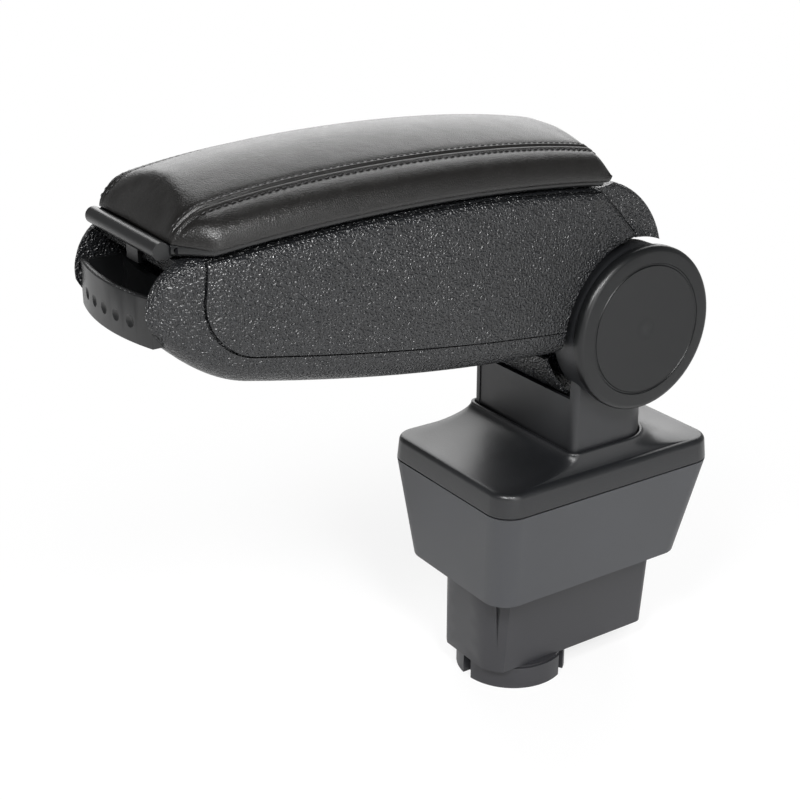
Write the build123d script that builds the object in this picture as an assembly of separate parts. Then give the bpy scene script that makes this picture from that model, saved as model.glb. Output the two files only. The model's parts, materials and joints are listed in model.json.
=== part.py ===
from build123d import *
from math import cos, radians, sin
import os

# Driving dimensions in millimetres. X runs forward along the arm, Y to the left, Z up.
# The origin is the centre of the cup plug's lower face.

# Fits
running_gap = 0.05
joint_gap = 0.4
panel_gap = 0.3
seat_gap = 0.1

# Cup plug and console insert
plug_radius = 32.0
plug_height = 13.0
plug_neck_height = 1.0
plug_neck_inset = 1.5
plug_notch_count = 3
plug_notch_width = 7.0
plug_notch_depth = 5.0
insert_rear = -80.0
insert_front = 34.0
insert_half_width = 27.4
insert_height = 54.0
insert_draft = 2.2
insert_corner = 6.0
insert_nose_radius = 38.0
insert_wall = 3.0
slit_width = 3.2
slit_depth = 4.0
slit_lift = 18.0
slit_angles = (40.0, 63.0)

# Base housing and its screws
housing_rear = -101.5
housing_front = 51.0
housing_half_width = 54.3
housing_height = 58.3
housing_corner = 14.0
housing_draft_front = 6.0
housing_draft_rear = 11.5
housing_draft_side = 8.9
housing_wall = 2.6
housing_floor = 3.0
screw_radius = 2.0
screw_head_radius = 4.0
screw_head_height = 2.5
screw_head_edge = 1.0
screw_length = 16.0
boss_radius = 5.0
boss_inset = 9.0

# Base cover
cover_rim_height = 14.0
cover_wall = 3.0
cover_edge = 4.0
cover_draft = 1.0
collar_rise = 8.0
collar_wall = 3.0
collar_gap = 1.0
collar_foot_front = 20.0
collar_foot_rear = 14.0

# Main sizes of the arm
arm_reach = 271.5
arm_half_width = 56.0

# Post and pivot
pivot_x = -35.5
pivot_rise = 78.7
post_front_reach = 32.5
post_rear_reach = 24.5
post_half_width = housing_half_width - 9.3
post_wall = 3.0
post_front_corner = 3.5
post_rear_corner = 20.0
post_seat_height = 18.0
post_seat_rib = 3.0
post_seat_inset = 8.0
front_panel_half_width = post_half_width - 5.5
rear_panel_half_width = 22.0
panel_top_drop = 39.5
panel_inset = 0.6
shell_top_drop = 28.0
web_lap = 4.0
cheek_radius = 43.0
cheek_inner = arm_half_width - 19.0
cheek_outer = arm_half_width - 2.0
cheek_recess_radius = 37.0
cheek_recess_depth = 8.5
cap_radius = 44.7
cap_thickness = 6.5
cap_edge = 3.2
cap_inner_edge = 1.2
cap_groove_radius = 35.0
cap_groove = 0.8
cap_dish = 0.9
cap_spigot = 4.0
cap_spigot_wall = 2.5
bolt_radius = 6.0
bolt_head_radius = 10.0
bolt_head_height = 5.5
bush_wall = 3.0
washer_radius = 24.0
washer_thickness = 1.5
barrel_radius = 40.0
barrel_gap = 1.0

# Arm tub: places along the arm are measured forward and up from the pivot
rim_rear = (26.5, 76.5)
rim_crown = 84.0
rim_front = (arm_reach - 24.0, 77.3)
rim_roll = 6.0
rim_edge_drop = 14.0
rear_arc_mid = (13.5, 64.0)
nose_shoulder = (arm_reach - 5.5, 68.0)
nose_height = 50.0
tub_side_lean = 1.5
tub_bow_place = 0.6
tub_rear = -0.5
tub_rear_half_width = arm_half_width - 6.0
belly_rear = -9.5
belly_rise = 25.0
belly_power = 1.8
belly_corner = 11.0
nose_start = arm_reach - 44.8
nose_lift = 20.7
nose_tuck = 9.5
nose_power = 2.1
nose_corner_loss = 3.0
tub_spans = 5
nose_spans = 4
tub_clearance_radius = 48.0
bin_rear = 54.0
bin_front = arm_reach - 90.5
bin_half_width = arm_half_width - 10.0
bin_floor = 13.0
liner_wall = 1.8
liner_corner = 6.0
liner_drop = 1.0
bay_half_width = arm_half_width - 17.5
bay_floor = 37.5
bay_rear = arm_reach - 30.5
runner_bay_rear = arm_reach - 85.5
runner_bay_height = 8.5
keeper_rear = arm_reach - 21.5
keeper_depth = 6.2
keeper_low = 69.0
keeper_height = 6.5

# Raised side panels
panel_relief = 0.9
panel_seat = 1.6
panel_groove = 0.9
panel_front = arm_reach - 24.0
panel_front_round = 24.0
panel_front_lean = 3.0
panel_shoulder_share = 1.35
panel_turn_shares = (0.22, 0.42)
panel_rear = -20.0
panel_rear_drop = 8.0
panel_sag = 6.0
panel_lower_front = 30.0
panel_lower_rear = 8.5
panel_top_drop_rim = 2.0
panel_cheek_gap = 1.5

# Rear cover
rear_cover_half_width = arm_half_width - 9.0
rear_cover_top = (14.5, 77.6)
rear_cover_mid = (-6.5, 65.0)
rear_cover_angle = 115.0
rear_cover_clearance = 46.5
rear_cover_edge = 3.0

# Lid
lid_lift = 0.9
lid_thickness = 6.0
lid_bead = 2.16
lid_rear = 24.5
lid_front = arm_reach - 14.5
lid_corner = arm_reach - 27.0
lid_half_width = arm_half_width - 1.5
lid_rear_half_width = arm_half_width - 7.5
lid_corner_half_width = arm_half_width - 3.0
lid_front_half_width = arm_half_width - 18.5
hinge_pin_place = (18.5, 73.8)
hinge_pin_radius = 2.0
hinge_knuckle_radius = 4.0
hinge_knuckle_inner = 25.0
hinge_knuckle_outer = 33.0
hinge_pin_half_length = arm_half_width - 16.0
hinge_leaf_length = 12.0
hinge_leaf_rise = 4.0
hinge_slot_rear = 9.0
hinge_slot_drop = 0.5
hinge_slot_lift = 3.0

# Cushion: rises above the lid base at the seam and at the middle, and their loss at either end
cushion_seam_rise = 13.4
cushion_crown_rise = 21.5
cushion_rear_loss = 0.58
cushion_front_loss = 0.79
cushion_spans = 8
cushion_seam_inset = 16.0
cushion_inset_keep = 0.6
cushion_bulge = (0.22, 0.62)

# Latch lever
lever_rear = arm_reach - 19.3
lever_half_width = arm_half_width - 20.0
lever_notch_rear = arm_reach - 20.3
lever_pin_place = (arm_reach - 16.8, 80.3)
lever_pin_radius = 1.5
lever_pin_half_length = arm_half_width - 16.0
lever_back_half_height = 1.9
lever_strip_rear = arm_reach - 13.9
lever_strip_front = arm_reach - 6.7
lever_strip_top = 83.3
lever_strip_low = 76.3
lever_tongue_half_width = 6.0
lever_tongue_thickness = 2.0
lever_tongue_length = 9.5
lever_tongue_root = 2.0
lever_strip_lean = 1.0
lever_strip_tuck = 2.0

# Front tray
tray_half_width = bay_half_width - 0.5
tray_height = 23.0
tray_wall = 3.0
tray_bow = 5.5
tray_end_reach = arm_reach - 3.0
tray_depth = 24.0
tray_floor = 2.5
tray_back_drop = 1.5
tray_lip_edge = 0.9
tray_end_set = 1.0
tray_runner_lap = 2.0
tray_runner_inner = 27.0
tray_runner_outer = 33.0
tray_runner_height = 6.0
dimple_count = 5
dimple_pitch = 11.8
dimple_radius = 3.0
dimple_depth = 1.2
dimple_height = 9.5

# Rim bumpers
bumper_radius = 3.5
bumper_sink = 1.2
bumper_stations = (42.0, arm_reach - 56.5)
bumper_side = arm_half_width - 16.0

# Worked out heights and places
insert_low = plug_height + plug_neck_height
insert_top = insert_low + insert_height
seam_z = insert_top + housing_height
cover_top = seam_z + cover_rim_height
collar_top = cover_top + collar_rise
pivot_z = cover_top + pivot_rise
floor_z = insert_top + housing_floor
foot_z = floor_z + post_seat_height
post_front = pivot_x + post_front_reach
post_rear = pivot_x - post_rear_reach
knuckle_half = cheek_inner - washer_thickness - seat_gap
tub_top = rim_crown + 10.0


def at(forward, up, y=0.0):
    """Point given forward and up from the pivot."""
    return Vector(pivot_x + forward, y, pivot_z + up)


def block(x0, x1, y0, y1, z0, z1):
    """Box between two corners."""
    middle = Pos((x0 + x1) / 2, (y0 + y1) / 2, (z0 + z1) / 2)
    return middle * Box(x1 - x0, y1 - y0, z1 - z0)


def rod(forward, up, radius, y0, y1):
    """Cylinder along Y about a point given from the pivot."""
    centre = at(forward, up, (y0 + y1) / 2)
    return Pos(centre) * Rot(90, 0, 0) * Cylinder(radius, y1 - y0)


def slab(face, y0, y1):
    """Face in the XZ plane carried from y0 to y1."""
    return extrude(Pos(0, y0, 0) * face, amount=y1 - y0, dir=(0, 1, 0))


def outline(*edges):
    """Face inside a closed run of edges."""
    return Face(Wire(list(edges)))


def rounded_plan(rear, front, half_width, corner, z):
    """Rounded rectangle at height z."""
    place = Plane.XY.offset(z) * Pos((rear + front) / 2, 0)
    return place * RectangleRounded(front - rear, 2 * half_width, corner)


def both_sides(piece):
    """A piece and its mirror image across the middle plane."""
    return piece + mirror(piece, about=Plane.XZ)


def rim_at(forward):
    """Height of the tub's crowned rim at a place along the arm."""
    share = (forward - rim_rear[0]) / (rim_front[0] - rim_rear[0])
    chord = rim_rear[1] + share * (rim_front[1] - rim_rear[1])
    crown = rim_crown - (rim_rear[1] + rim_front[1]) / 2
    return chord + 4 * crown * share * (1 - share)


def screw_places():
    """Places of the four screws through the housing floor."""
    xs = (insert_rear + boss_inset, insert_front - 2 * boss_inset)
    ys = (insert_half_width - boss_inset, boss_inset - insert_half_width)
    return [(x, y) for x in xs for y in ys]


def insert_form(inset, z0, z1):
    """Tapered insert between two heights, with its nose rounded about the plug's axis."""
    def section(z):
        grow = insert_draft * (z - insert_low) / insert_height - inset
        rear = insert_rear - grow
        front = insert_front + grow
        return rounded_plan(rear, front, insert_half_width + grow, insert_corner - inset / 2, z)
    form = loft([section(z0), section(z1)])
    nose = Pos(0, 0, (z0 + z1) / 2) * Cylinder(insert_nose_radius - inset, z1 - z0)
    tail = block(2 * insert_rear, 0, -2 * insert_half_width, 2 * insert_half_width, z0, z1)
    return form & (nose + tail)


def make_console_insert():
    """Lower moulding: tapered shell, notched cup plug, screw bosses and corner slits."""
    shell = insert_form(0.0, insert_low, insert_top)
    shell -= insert_form(insert_wall, insert_low + insert_wall, insert_top)
    bosses = [Pos(x, y, (insert_low + insert_top) / 2) * Cylinder(boss_radius, insert_height)
              for x, y in screw_places()]
    plug = Pos(0, 0, plug_height / 2) * Cylinder(plug_radius, plug_height)
    plug += Pos(0, 0, insert_low / 2) * Cylinder(plug_radius - plug_neck_inset, insert_low)
    for index in range(plug_notch_count):
        cut = Pos(plug_radius, 0, plug_height / 2) * Box(2 * plug_notch_depth, plug_notch_width, plug_height)
        plug -= Rot(0, 0, 360.0 / plug_notch_count * index) * cut
    piece = shell + plug + bosses
    for x, y in screw_places():
        piece -= Pos(x, y, insert_top - screw_length / 2) * Cylinder(screw_radius + running_gap, screw_length)
    for angle in slit_angles + tuple(-angle for angle in slit_angles):
        low = Plane.XY.offset(insert_low + slit_lift) * Rectangle(0.2, 0.2)
        high = Plane.XY.offset(insert_top) * Rectangle(2 * slit_depth, slit_width)
        reach = insert_nose_radius
        piece -= Rot(0, 0, angle) * Pos(reach, 0, 0) * loft([low, high])
    return piece


def housing_form(inset, z0, z1):
    """Tapered base block between two heights."""
    def section(z):
        share = (seam_z - z) / housing_height
        rear = housing_rear + housing_draft_rear * share + inset
        front = housing_front - housing_draft_front * share - inset
        half = housing_half_width - housing_draft_side * share - inset
        return rounded_plan(rear, front, half, housing_corner, z)
    return loft([section(z0), section(z1)])


def make_base_housing():
    """Open tapered bucket with a drilled floor and two cross ribs that the post stands on."""
    piece = housing_form(0.0, insert_top, seam_z) - housing_form(housing_wall, floor_z, seam_z)
    for x in (post_rear + post_seat_inset, post_front - post_seat_inset):
        rib = block(x - post_seat_rib / 2, x + post_seat_rib / 2, -housing_half_width, housing_half_width,
                    insert_top, foot_z)
        piece += rib & housing_form(0.0, insert_top, seam_z)
    for x, y in screw_places():
        hole = Cylinder(screw_radius + running_gap, housing_floor)
        piece -= Pos(x, y, insert_top + housing_floor / 2) * hole
    return piece


def make_housing_screws():
    """Four pan-head screws from the housing floor down into the insert's bosses."""
    shank = Cylinder(screw_radius, screw_length + housing_floor - running_gap)
    shank_z = floor_z - (screw_length + housing_floor - running_gap) / 2
    head = fillet(Cylinder(screw_head_radius, screw_head_height).edges().group_by(Axis.Z)[-1], screw_head_edge)
    screws = [Pos(x, y, shank_z) * shank + Pos(x, y, floor_z + screw_head_height / 2) * head
              for x, y in screw_places()]
    return Compound(children=screws)


def post_plan(grow, z):
    """Plan of the post: square front corners and a rounded back."""
    front = post_front + grow
    rear = post_rear - grow
    half = post_half_width + grow
    sketch = Pos((front + rear) / 2, 0) * Rectangle(front - rear, 2 * half)
    back = sketch.vertices().group_by(Axis.X)[0]
    sketch = fillet(back, post_rear_corner + grow)
    nose = sketch.vertices().group_by(Axis.X)[-1]
    sketch = fillet(nose, post_front_corner + grow)
    return Plane.XY.offset(z) * sketch


def make_base_cover():
    """Rimmed cover whose top sweeps up into a collar round the post."""
    plate = loft([rounded_plan(housing_rear, housing_front, housing_half_width, housing_corner, seam_z),
                  rounded_plan(housing_rear + cover_draft, housing_front - cover_draft,
                               housing_half_width - cover_draft, housing_corner - cover_draft, cover_top)])
    plate = fillet(plate.edges().group_by(Axis.Z)[-1], cover_edge)
    lip = collar_gap + collar_wall
    half = post_half_width + lip
    foot_half = (half + housing_half_width - cover_edge) / 2
    foot = rounded_plan(post_rear - lip - collar_foot_rear, post_front + lip + collar_foot_front,
                        foot_half, post_rear_corner, cover_top - cover_edge / 2)
    knee = rounded_plan(post_rear - lip - collar_foot_rear / 4, post_front + lip + collar_foot_front / 4,
                        half + (foot_half - half) / 4, post_rear_corner, cover_top + collar_rise / 4)
    mouth = rounded_plan(post_rear - lip, post_front + lip, half, post_rear_corner, collar_top)
    piece = plate + loft([foot, knee, mouth])
    inset = cover_wall + cover_draft
    piece -= loft([rounded_plan(housing_rear + cover_wall, housing_front - cover_wall,
                                housing_half_width - cover_wall, housing_corner - cover_wall, seam_z),
                   rounded_plan(housing_rear + inset, housing_front - inset, housing_half_width - inset,
                                housing_corner - inset, cover_top - cover_wall)])
    piece -= extrude(post_plan(collar_gap, seam_z), amount=collar_top - seam_z + 1)
    return piece


def make_post_shell(side):
    """Half of the post with its round cheek, on the side given by +1 or -1."""
    top = pivot_z - shell_top_drop
    tube = extrude(post_plan(0.0, foot_z), amount=top - foot_z)
    tube -= extrude(post_plan(-post_wall, foot_z), amount=top - foot_z)
    far = 2 * post_half_width
    tube -= block(post_front - 2 * post_wall, post_front + 1, -front_panel_half_width - panel_gap,
                  front_panel_half_width + panel_gap, foot_z, top)
    tube -= block(post_rear - 1, post_rear + 2 * post_wall, -rear_panel_half_width - panel_gap,
                  rear_panel_half_width + panel_gap, foot_z, top)
    tube -= block(-far * 2, far, -far, 0, foot_z, top)
    cheek = rod(0, 0, cheek_radius, cheek_inner, cheek_outer)
    web = block(post_rear + post_rear_corner / 2, post_front - post_wall, post_half_width - post_wall,
                post_half_width, top - web_lap, pivot_z)
    piece = tube + cheek + web
    piece -= rod(0, 0, cheek_recess_radius, cheek_outer - cheek_recess_depth, cheek_outer + 1)
    piece -= rod(0, 0, bolt_radius + running_gap, 0, cheek_outer)
    piece -= rod(0, 0, barrel_radius + barrel_gap, 0, cheek_inner)
    return piece if side > 0 else mirror(piece, about=Plane.XZ)


def make_post_front_panel():
    """Flat panel let in between the two post shells at the front."""
    panel_top = pivot_z - panel_top_drop
    return block(post_front - post_wall, post_front - panel_inset, -front_panel_half_width, front_panel_half_width,
                 foot_z, panel_top)


def make_post_rear_panel():
    """Flat panel let in between the two post shells at the back."""
    panel_top = pivot_z - panel_top_drop
    return block(post_rear + panel_inset, post_rear + post_wall, -rear_panel_half_width, rear_panel_half_width,
                 foot_z, panel_top)


def make_pivot_bolt():
    """Headed bolt that the arm turns on."""
    seat = cheek_outer - cheek_recess_depth
    shank = rod(0, 0, bolt_radius, -seat - bolt_head_height, seat)
    head = rod(0, 0, bolt_head_radius, seat, seat + bolt_head_height)
    return shank + head


def make_pivot_nut():
    """Hexagon nut at the bolt's far end."""
    seat = cheek_outer - cheek_recess_depth
    blank = extrude(RegularPolygon(bolt_head_radius, 6), amount=bolt_head_height)
    blank -= Cylinder(bolt_radius + running_gap, 3 * bolt_head_height)
    return Pos(at(0, 0, -seat)) * Rot(90, 0, 0) * blank


def make_friction_washers():
    """Two washers pinched between the cheeks and the barrel."""
    inner = knuckle_half + seat_gap
    ring = rod(0, 0, washer_radius, inner, inner + washer_thickness)
    ring -= rod(0, 0, bolt_radius + running_gap, inner, inner + washer_thickness)
    return Compound(children=[ring, mirror(ring, about=Plane.XZ)])


def make_pivot_bushes():
    """Two plain bushes in the barrel's ends."""
    length = knuckle_half / 2
    ring = rod(0, 0, bolt_radius + bush_wall, length, knuckle_half)
    ring -= rod(0, 0, bolt_radius + running_gap, length, knuckle_half)
    return Compound(children=[ring, mirror(ring, about=Plane.XZ)])


def make_pivot_cap(side):
    """Round cap with a rolled rim, a fine ring groove and a shallow dish."""
    disc = Cylinder(cap_radius, cap_thickness)
    disc = fillet(disc.edges().group_by(Axis.Z)[-1], cap_edge)
    disc = fillet(disc.edges().group_by(Axis.Z)[0], cap_inner_edge)
    disc -= Pos(0, 0, cap_thickness / 2) * Torus(cap_groove_radius, cap_groove)
    dish_radius = (cap_groove_radius ** 2 + cap_dish ** 2) / (2 * cap_dish)
    disc -= Pos(0, 0, cap_thickness / 2 - cap_dish + dish_radius) * Sphere(dish_radius)
    spigot_radius = cheek_recess_radius - seat_gap
    spigot = Cylinder(spigot_radius, cap_spigot) - Cylinder(spigot_radius - cap_spigot_wall, cap_spigot)
    disc += Pos(0, 0, -(cap_thickness + cap_spigot) / 2) * spigot
    piece = Pos(at(0, 0, cheek_outer + cap_thickness / 2)) * Rot(-90, 0, 0) * disc
    return piece if side > 0 else mirror(piece, about=Plane.XZ)


def tub_section(forward, grow):
    """Cross-section of the tub: sides that bow out and a belly with rounded corners.

    The belly rises forward by a power law and the sides bow by a parabola; past the start of the nose both
    pull in by another power law.
    """
    middle_place = nose_start * tub_bow_place
    nose = max(0.0, (forward - nose_start) / (arm_reach - nose_start)) ** nose_power
    bow = 1 - ((forward - middle_place) / middle_place) ** 2
    half = tub_rear_half_width + (arm_half_width - tub_rear_half_width) * bow - nose_tuck * nose
    low = belly_rear + belly_rise * (max(forward, 0.0) / nose_start) ** belly_power + nose_lift * nose
    turn = belly_corner - nose_corner_loss * nose
    x = at(forward, 0).X
    top = at(0, tub_top).Z
    base = at(0, low - grow).Z
    side = half + grow
    foot = side - tub_side_lean
    shoulder = base + turn
    tuck = turn * (1 - cos(radians(45)))
    middle = (shoulder + top) / 2
    left = [ThreePointArc((x, side - tub_side_lean, top), (x, side, middle), (x, foot, shoulder)),
            ThreePointArc((x, foot, shoulder), (x, foot - tuck, base + tuck), (x, foot - turn, base))]
    right = [ThreePointArc((x, turn - foot, base), (x, tuck - foot, base + tuck), (x, -foot, shoulder)),
             ThreePointArc((x, -foot, shoulder), (x, -side, middle), (x, tub_side_lean - side, top))]
    floor = Line((x, foot - turn, base), (x, turn - foot, base))
    lid = Line((x, tub_side_lean - side, top), (x, side - tub_side_lean, top))
    return outline(*left, floor, *right, lid)


def tub_form(grow):
    """Outer form of the tub, lofted along the arm in a body and a nose and grown outwards by an amount."""
    body_step = (nose_start - tub_rear) / tub_spans
    nose_step = (arm_reach - nose_start) / nose_spans
    body = loft([tub_section(tub_rear + body_step * index, grow) for index in range(tub_spans + 1)])
    nose = loft([tub_section(nose_start + nose_step * index, grow) for index in range(nose_spans + 1)])
    return body + nose


def rim_arc(rear_forward, front_forward, lift):
    """Arc of the crowned rim between two places along the arm, raised by a lift."""
    middle = (rear_forward + front_forward) / 2
    stations = (rear_forward, middle, front_forward)
    return ThreePointArc(*[at(place, rim_at(place) + lift) for place in stations])


def tub_trim():
    """Side view that trims the tub: crowned rim, rounded nose shoulder and the arc at the back."""
    nose = at(arm_reach + 1, nose_height)
    deep = -2 * barrel_radius
    back = at(-0.5, tub_clearance_radius + 1)
    return outline(rim_arc(rim_rear[0], rim_front[0], 0.0),
                   ThreePointArc(at(*rim_front), at(*nose_shoulder), nose),
                   Line(nose, at(arm_reach + 1, deep)),
                   Line(at(arm_reach + 1, deep), at(-0.5, deep)),
                   Line(at(-0.5, deep), back),
                   ThreePointArc(back, at(*rear_arc_mid), at(*rim_rear)))


def rolled_tub(grow):
    """Tub trimmed to its side view and grown outwards by an amount, with its rim edges rolled over."""
    far = arm_half_width + 20
    form = tub_form(grow) & slab(tub_trim(), -far, far)
    low = at(0, rim_rear[1] - rim_edge_drop).Z
    rim = [edge for edge in form.edges()
           if abs(edge.center().Y) > bay_half_width and edge.center().Z > low and edge.length > 2 * rim_roll]
    return fillet(rim, rim_roll)


def panel_profile(grow):
    """Side view of a raised panel, grown outwards all round by an amount."""
    front = panel_front + grow
    low_rear = at(panel_rear, panel_lower_rear - panel_rear_drop - grow)
    low_front = at(front - panel_front_round, panel_lower_front - grow)
    turn = at(front - panel_front_round * panel_turn_shares[0],
              panel_lower_front + panel_front_round * panel_turn_shares[1] - grow)
    shoulder = at(front, panel_lower_front + panel_shoulder_share * panel_front_round)
    top = at(front - panel_front_lean, tub_top)
    middle = at((front - panel_front_round) / 2, (panel_lower_front + panel_lower_rear) / 2 - panel_sag - grow)
    return outline(ThreePointArc(low_rear, middle, low_front),
                   ThreePointArc(low_front, turn, shoulder),
                   Line(shoulder, top),
                   Line(top, at(panel_rear, tub_top)),
                   Line(at(panel_rear, tub_top), low_rear))


def panel_zone(grow):
    """Block that a raised panel is cut from: below the rim, in front of the rear arc, clear of the cheek."""
    far = arm_half_width + 10
    zone = slab(panel_profile(grow), arm_half_width / 2, far)
    inner = slab(tub_trim(), arm_half_width / 2, far)
    zone = zone & (Pos(0, 0, grow - panel_top_drop_rim) * inner)
    return zone - rod(0, 0, tub_clearance_radius + panel_cheek_gap - grow, arm_half_width / 2, far)


def make_side_panel(side):
    """Raised panel let into the tub's side."""
    skin = rolled_tub(panel_relief) - rolled_tub(seat_gap - panel_seat)
    piece = panel_zone(0.0) & skin
    return piece if side > 0 else mirror(piece, about=Plane.XZ)


def make_arm_tub():
    """Grained body of the arm: bowed sides, belly, barrel, bin, tray bay, keeper rail and panel seats."""
    far = arm_half_width + 20
    body = rolled_tub(0.0)
    seat = panel_zone(panel_groove) - rolled_tub(-panel_seat)
    body -= both_sides(seat)
    body -= both_sides(rod(0, 0, tub_clearance_radius, knuckle_half, far))
    body += rod(0, 0, barrel_radius, -knuckle_half, knuckle_half)
    body -= block(at(bin_rear, 0).X, at(bin_front, 0).X, -bin_half_width, bin_half_width,
                  at(0, bin_floor).Z, at(0, tub_top).Z)
    body -= block(at(bay_rear, 0).X, at(arm_reach + 5, 0).X, -bay_half_width, bay_half_width,
                  at(0, bay_floor).Z, at(0, tub_top).Z)
    body -= block(at(runner_bay_rear, 0).X, at(bay_rear + 1, 0).X, -bay_half_width, bay_half_width,
                  at(0, bay_floor).Z, at(0, bay_floor + runner_bay_height).Z)
    body += block(at(keeper_rear, 0).X, at(keeper_rear + keeper_depth, 0).X, -bay_half_width - 1,
                  bay_half_width + 1, at(0, keeper_low).Z, at(0, keeper_low + keeper_height).Z)
    body -= rod(0, 0, bolt_radius + running_gap, -knuckle_half, knuckle_half)
    body -= both_sides(rod(0, 0, bolt_radius + bush_wall, knuckle_half / 2, knuckle_half))
    for pocket in bumper_discs(tub_top - rim_crown):
        body -= pocket
    body -= hinge_slots()
    return body


def bumper_discs(lift):
    """Discs of the rim bumpers, standing above the rim by a lift."""
    discs = []
    for station in bumper_stations:
        low = rim_at(station) - bumper_sink
        height = bumper_sink + lift
        for y in (bumper_side, -bumper_side):
            discs.append(Pos(at(station, low + height / 2, y)) * Cylinder(bumper_radius, height))
    return discs


def make_rim_bumpers():
    """Rubber discs that the lid comes down on."""
    return Compound(children=bumper_discs(lid_lift - 2 * panel_gap))


def make_bin_liner():
    """Open-topped liner of the storage bin."""
    rear = at(bin_rear + panel_gap, 0).X
    front = at(bin_front - panel_gap, 0).X
    half = bin_half_width - panel_gap
    low = at(0, bin_floor).Z
    high = at(0, rim_rear[1] - liner_drop).Z
    outer = block(rear, front, -half, half, low, high)
    outer = fillet(outer.edges().filter_by(Axis.Z), liner_corner)
    inner = block(rear + liner_wall, front - liner_wall, -half + liner_wall, half - liner_wall,
                  low + liner_wall, high + 1)
    inner = fillet(inner.edges().filter_by(Axis.Z), liner_corner - liner_wall)
    return outer - inner


def rear_cover_profile():
    """Side view of the rear cover between the tub's rear arc and its own outer arc."""
    angle = radians(rear_cover_angle)
    toe = at(rear_cover_clearance * cos(angle), rear_cover_clearance * sin(angle))
    half_angle = radians((rear_cover_angle + 90) / 2)
    under = at(rear_cover_clearance * cos(half_angle), rear_cover_clearance * sin(half_angle))
    heel_in = at(-0.7, (rear_cover_clearance ** 2 - 0.49) ** 0.5)
    back = at(-0.7, tub_clearance_radius + 1)
    top_in = at(rim_rear[0] - 0.2, rim_rear[1])
    return outline(ThreePointArc(back, at(rear_arc_mid[0] - 0.2, rear_arc_mid[1]), top_in),
                   Line(top_in, at(*rear_cover_top)),
                   ThreePointArc(at(*rear_cover_top), at(*rear_cover_mid), toe),
                   ThreePointArc(toe, under, heel_in),
                   Line(heel_in, back))


def hinge_slots():
    """Room that the lid's two hinge knuckles turn in."""
    x, z = hinge_pin_place
    low = hinge_knuckle_inner - panel_gap
    high = hinge_knuckle_outer + panel_gap
    slot = rod(x, z, hinge_knuckle_radius + joint_gap, low, high)
    slot += block(at(x, 0).X, at(x + hinge_leaf_length, 0).X, low, high, at(0, z + hinge_slot_lift).Z,
                  at(0, tub_top).Z)
    slot += block(at(x - hinge_slot_rear, 0).X, at(x, 0).X, low, high, at(0, z + hinge_slot_drop).Z,
                  at(0, tub_top).Z)
    return both_sides(slot)


def make_rear_cover():
    """Cover over the arm's back end, with slots for the lid's hinge knuckles."""
    piece = slab(rear_cover_profile(), -rear_cover_half_width, rear_cover_half_width)
    outer = [edge for edge in piece.edges()
             if abs(edge.center().Y) > rear_cover_half_width - 1 and edge.center().X < at(*rear_cover_mid).X + 4
             and edge.length > 20]
    piece = fillet(outer, rear_cover_edge)
    x, z = hinge_pin_place
    piece -= hinge_slots()
    piece -= rod(x, z, hinge_pin_radius + running_gap, -hinge_pin_half_length, hinge_pin_half_length)
    return piece


def lid_plan(z):
    """Plan of the lid: bowed sides, angled front corners and a straight front."""
    rear = at(lid_rear, 0).X
    corner = at(lid_corner, 0).X
    front = at(lid_front, 0).X
    mid = (rear + corner) / 2
    left = [ThreePointArc((rear, lid_rear_half_width, z), (mid, lid_half_width, z),
                          (corner, lid_corner_half_width, z)),
            Line((corner, lid_corner_half_width, z), (front, lid_front_half_width, z)),
            Line((front, lid_front_half_width, z), (front, -lid_front_half_width, z))]
    right = [Line((front, -lid_front_half_width, z), (corner, -lid_corner_half_width, z)),
             ThreePointArc((corner, -lid_corner_half_width, z), (mid, -lid_half_width, z),
                           (rear, -lid_rear_half_width, z)),
             Line((rear, -lid_rear_half_width, z), (rear, lid_rear_half_width, z))]
    return outline(*(left + right))


def lid_half_at(forward):
    """Half width of the lid at a place along the arm."""
    if forward > lid_corner:
        share = (forward - lid_corner) / (lid_front - lid_corner)
        return lid_corner_half_width + share * (lid_front_half_width - lid_corner_half_width)
    share = (forward - lid_rear) / (lid_corner - lid_rear)
    chord = lid_rear_half_width + share * (lid_corner_half_width - lid_rear_half_width)
    crown = lid_half_width - (lid_rear_half_width + lid_corner_half_width) / 2
    return chord + 4 * crown * share * (1 - share)


def lid_top_at(forward):
    """Height of the lid base's upper face at a place along the arm."""
    return rim_at(forward) + lid_lift + lid_thickness


def make_lid_base():
    """Lid base with a rounded bead, hinge knuckles and a notch for the lever."""
    low = rim_arc(lid_rear, lid_front, lid_lift)
    high = rim_arc(lid_rear, lid_front, lid_lift + lid_thickness)
    side = outline(low, Line(low @ 1, high @ 1), high, Line(high @ 0, low @ 0))
    far = lid_half_width + 10
    slice_low = pivot_z + rim_rear[1] - 10
    plan = extrude(lid_plan(slice_low), amount=4 * lid_thickness + 20, dir=(0, 0, 1))
    piece = slab(side, -far, far) & plan
    bead = [edge for edge in piece.edges()
            if abs(edge.center().Y) > lid_front_half_width + 2 and edge.length > lid_thickness + 4]
    piece = fillet(bead, lid_bead)
    x, z = hinge_pin_place
    knuckle = rod(x, z, hinge_knuckle_radius, hinge_knuckle_inner, hinge_knuckle_outer)
    leaf = z + hinge_knuckle_radius
    knuckle += block(at(x, 0).X, at(x + hinge_leaf_length, 0).X, hinge_knuckle_inner, hinge_knuckle_outer,
                     at(0, leaf - joint_gap).Z, at(0, leaf + hinge_leaf_rise).Z)
    piece += both_sides(knuckle)
    piece -= rod(x, z, hinge_pin_radius + running_gap, -far, far)
    piece -= block(at(lever_notch_rear, 0).X, at(lid_front + 5, 0).X, -lever_half_width - joint_gap,
                   lever_half_width + joint_gap, at(0, rim_rear[1] - 9).Z, at(0, rim_crown + 9).Z)
    px, pz = lever_pin_place
    piece -= rod(px, pz, lever_pin_radius + running_gap, -lever_pin_half_length, lever_pin_half_length)
    return piece


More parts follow.
